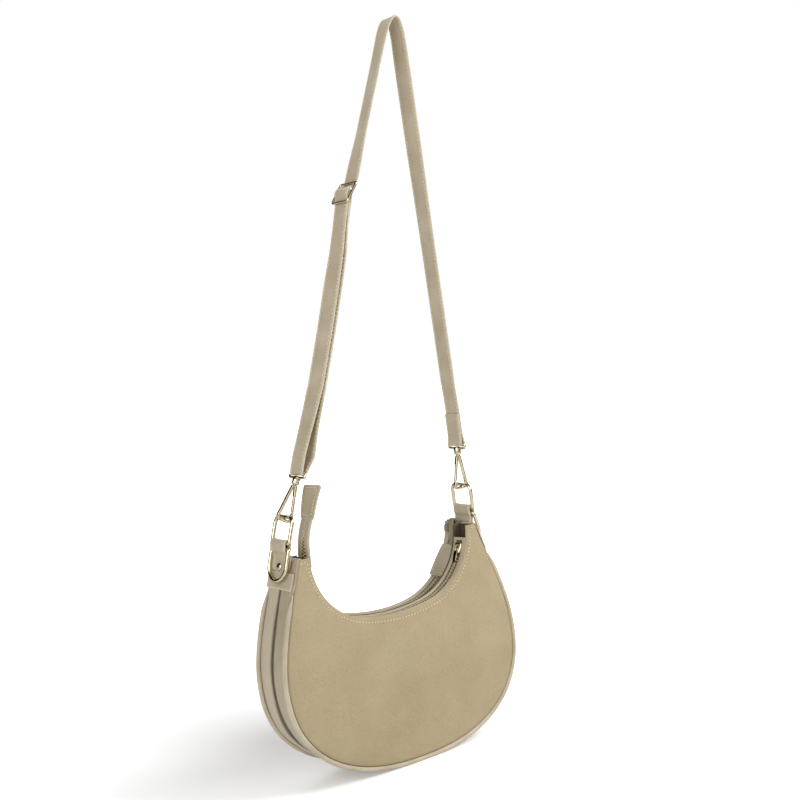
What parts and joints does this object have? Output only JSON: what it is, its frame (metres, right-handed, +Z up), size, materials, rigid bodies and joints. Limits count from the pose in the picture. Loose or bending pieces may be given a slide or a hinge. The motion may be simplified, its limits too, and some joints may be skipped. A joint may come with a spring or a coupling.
{
  "type": "half moon bag",
  "caption": "Crescent shoulder bag of two slim zipped pouches joined at the horns, with piping, metal links and rings, and an adjustable leather strap on snap hooks.",
  "frame": {"origin": "on the floor under the middle of the footprint", "axes": "+X along the bag towards its right horn, -Y out of the front panel, +Z up"},
  "size_m": [0.2794, 0.0532, 0.7036],
  "materials": {
    "suede": "soft beige suede with a short nap",
    "smooth_leather": "smooth matt beige leather",
    "edge_leather": "smooth pale beige leather over cord",
    "lining_cloth": "plain woven lining",
    "zip_tape": "tight woven olive tape",
    "gold_metal": "polished pale gold plate"
  },
  "bodies": {
    "bag": {"front_panel": "suede", "front_piping": "edge_leather", "front_gusset": "smooth_leather", "front_inner_wall": "suede", "front_lining": "lining_cloth", "front_facings": "smooth_leather", "front_zip_tape": "zip_tape", "front_zip_teeth": "gold_metal", "front_zip_tab": "smooth_leather", "rear_panel": "suede", "rear_piping": "edge_leather", "rear_gusset": "smooth_leather", "rear_inner_wall": "suede", "rear_lining": "lining_cloth", "rear_facings": "smooth_leather", "rear_zip_tape": "zip_tape", "rear_zip_teeth": "gold_metal", "rear_zip_tab": "smooth_leather", "left_loop": "smooth_leather", "right_loop": "smooth_leather", "left_crosspiece": "smooth_leather", "right_crosspiece": "smooth_leather", "left_rivet": "gold_metal", "right_rivet": "gold_metal", "left_swivel_eye": "gold_metal", "right_swivel_eye": "gold_metal", "strap": "smooth_leather", "buckle_frame": "gold_metal", "buckle_bar": "gold_metal"},
    "front_slider": {"front_slider": "gold_metal"},
    "front_pull": {"front_pull": "gold_metal"},
    "rear_slider": {"rear_slider": "gold_metal"},
    "rear_pull": {"rear_pull": "gold_metal"},
    "left_link": {"left_link": "gold_metal"},
    "right_link": {"right_link": "gold_metal"},
    "left_ring": {"left_ring": "gold_metal"},
    "right_ring": {"right_ring": "gold_metal"},
    "left_hook": {"left_hook": "gold_metal", "left_gate_pin": "gold_metal"},
    "left_gate": {"left_gate": "gold_metal"},
    "right_hook": {"right_hook": "gold_metal", "right_gate_pin": "gold_metal"},
    "right_gate": {"right_gate": "gold_metal"}
  },
  "joints": [
    {"name": "front_slider_run", "type": "hinge", "parent": "bag", "child": "front_slider", "pos_m": [0.02198, -0.00499, 0.20987], "axis": [0, 0.9991, -0.0419], "range_deg": [0, 51]},
    {"name": "front_pull_hinge", "type": "hinge", "parent": "front_slider", "child": "front_pull", "pos_m": [0.08076, -0.00589, 0.1885], "axis": [0, 0.9991, -0.0419], "range_deg": [0, 150]},
    {"name": "rear_slider_run", "type": "hinge", "parent": "bag", "child": "rear_slider", "pos_m": [-0.03502, 0.01482, 0.21054], "axis": [0, -1, 0.0035], "range_deg": [0, 51]},
    {"name": "rear_pull_hinge", "type": "hinge", "parent": "rear_slider", "child": "rear_pull", "pos_m": [-0.09379, 0.01474, 0.18914], "axis": [0, -1, 0.0035], "range_deg": [0, 150]},
    {"name": "left_link_hinge", "type": "hinge", "parent": "bag", "child": "left_link", "pos_m": [-0.11652, 0.00492, 0.2245], "axis": [0, 1, 0], "range_deg": [-1.5, 6]},
    {"name": "left_ring_hinge", "type": "hinge", "parent": "bag", "child": "left_ring", "pos_m": [-0.11712, 0.00492, 0.2197], "axis": [0, 1, 0], "range_deg": [0, 100]},
    {"name": "left_hook_swivel", "type": "hinge", "parent": "bag", "child": "left_hook", "pos_m": [-0.0982, 0.00492, 0.27136], "axis": [0.4384, 0, 0.8988], "range_deg": [-30, 30]},
    {"name": "left_gate_hinge", "type": "hinge", "parent": "left_hook", "child": "left_gate", "pos_m": [-0.09748, 0.00492, 0.26577], "axis": [0, 1, 0], "range_deg": [0, 18], "stiffness_Nm_per_rad": 0.05, "springref_deg": -28.65},
    {"name": "right_link_hinge", "type": "hinge", "parent": "bag", "child": "right_link", "pos_m": [0.10348, 0.00492, 0.2245], "axis": [0, 1, 0], "range_deg": [-5, 5]},
    {"name": "right_ring_hinge", "type": "hinge", "parent": "bag", "child": "right_ring", "pos_m": [0.10408, 0.00492, 0.2197], "axis": [0, -1, 0], "range_deg": [0, 100]},
    {"name": "right_hook_swivel", "type": "hinge", "parent": "bag", "child": "right_hook", "pos_m": [0.10043, 0.00492, 0.27491], "axis": [-0.0523, 0, 0.9986], "range_deg": [-30, 30]},
    {"name": "right_gate_hinge", "type": "hinge", "parent": "right_hook", "child": "right_gate", "pos_m": [0.09758, 0.00492, 0.27005], "axis": [0, -1, 0], "range_deg": [0, 18], "stiffness_Nm_per_rad": 0.05, "springref_deg": -28.65}
  ]
}
